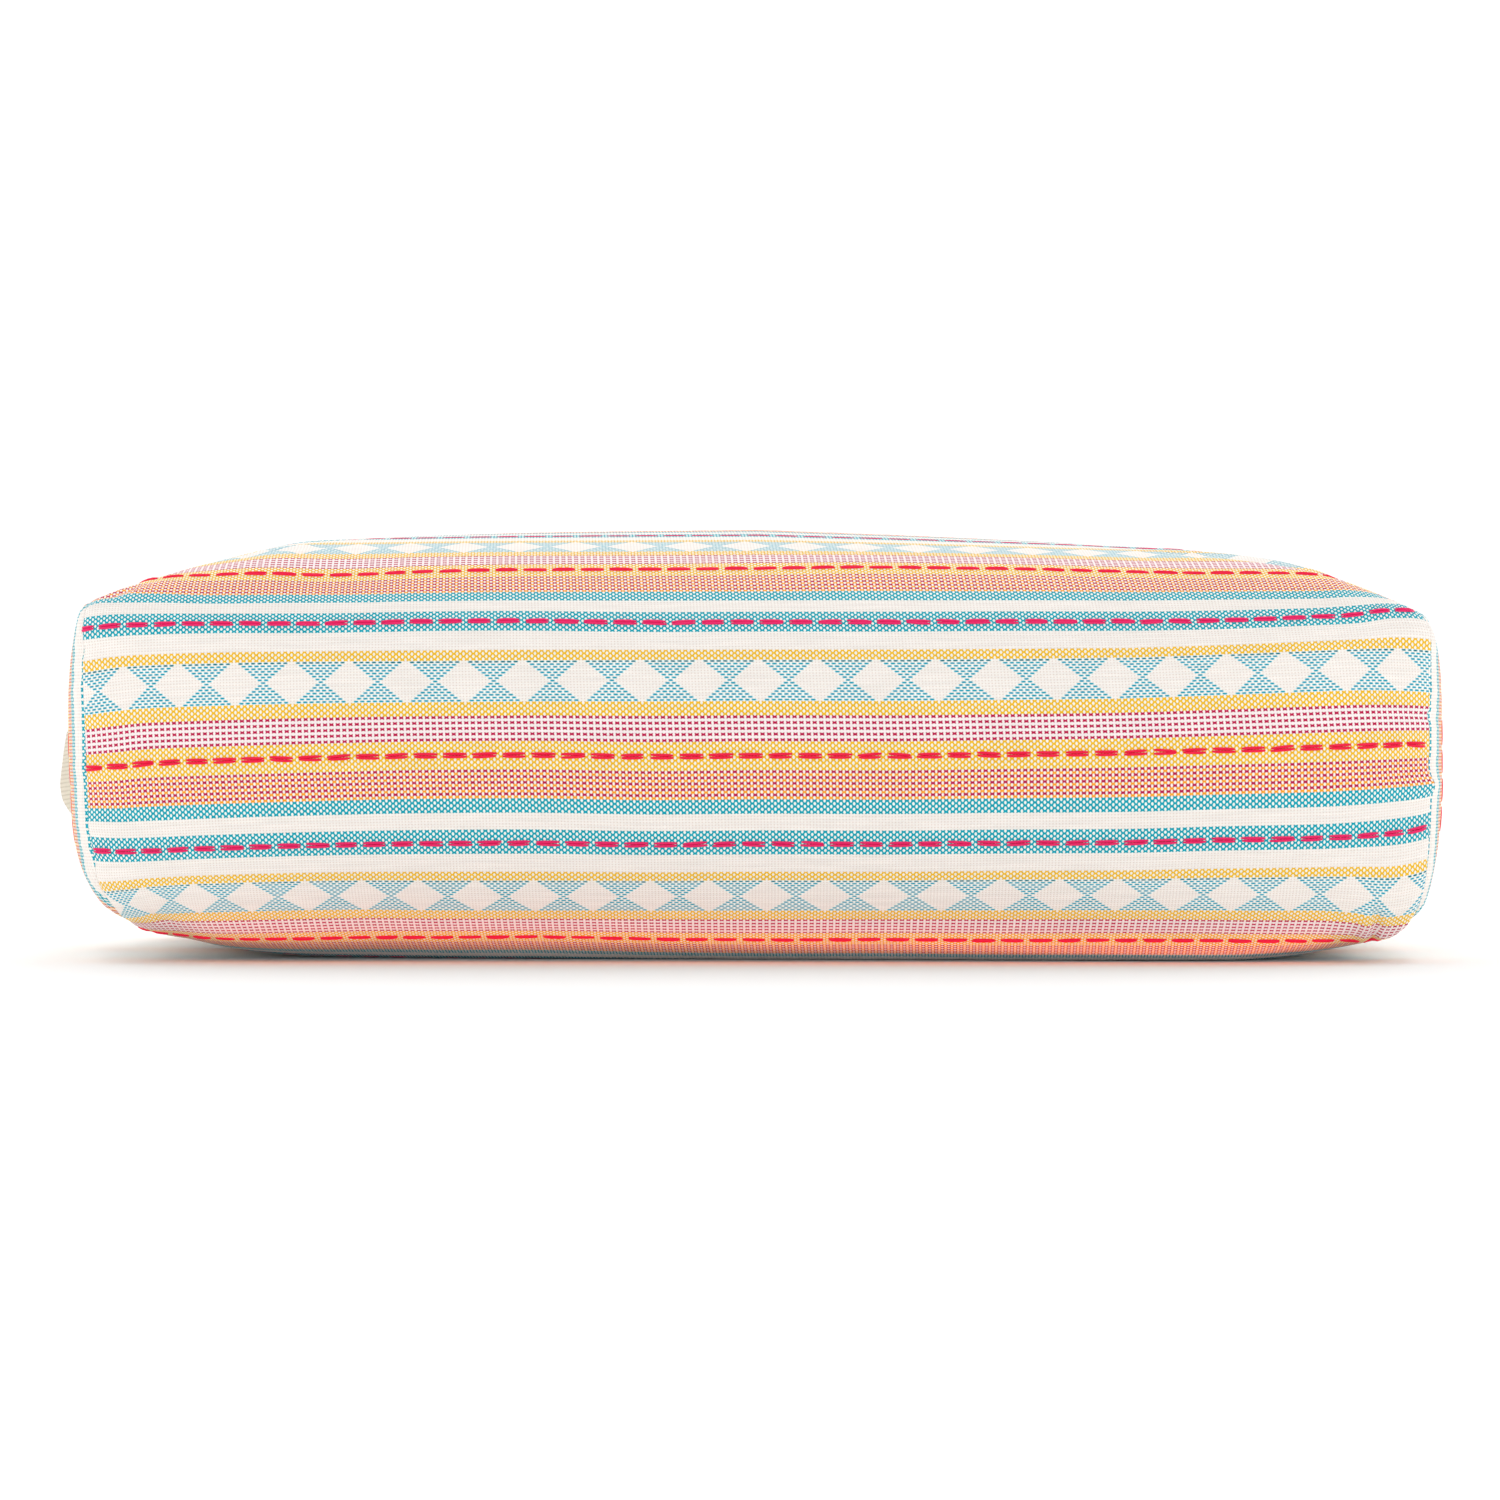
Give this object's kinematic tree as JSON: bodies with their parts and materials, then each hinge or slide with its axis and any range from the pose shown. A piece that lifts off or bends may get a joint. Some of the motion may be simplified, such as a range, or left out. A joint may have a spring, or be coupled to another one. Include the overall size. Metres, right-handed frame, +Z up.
{
  "type": "yoga bolster",
  "caption": "Firm rectangular yoga bolster: a boxed, crowned cushion of striped cloth with domed end panels, plain end seams and a webbing carry handle on one end.",
  "frame": {"origin": "middle of the flat patch of the underside on which the bolster rests", "axes": "+X along the length, away from the end with the carry handle; -Y out of the long front side; +Z up"},
  "size_m": [0.6597, 0.344, 0.2028],
  "materials": {
    "wrap_cloth": "woven cotton with lengthwise bands in cream, yellow, orange, pink and blue",
    "end_cloth": "the same woven cotton with its bands upright",
    "handle_webbing": "cream cotton webbing"
  },
  "bodies": {
    "root": {"bolster_body": "wrap_cloth", "end_panel_left": "end_cloth", "end_panel_right": "end_cloth", "carry_handle": "handle_webbing"}
  },
  "joints": []
}
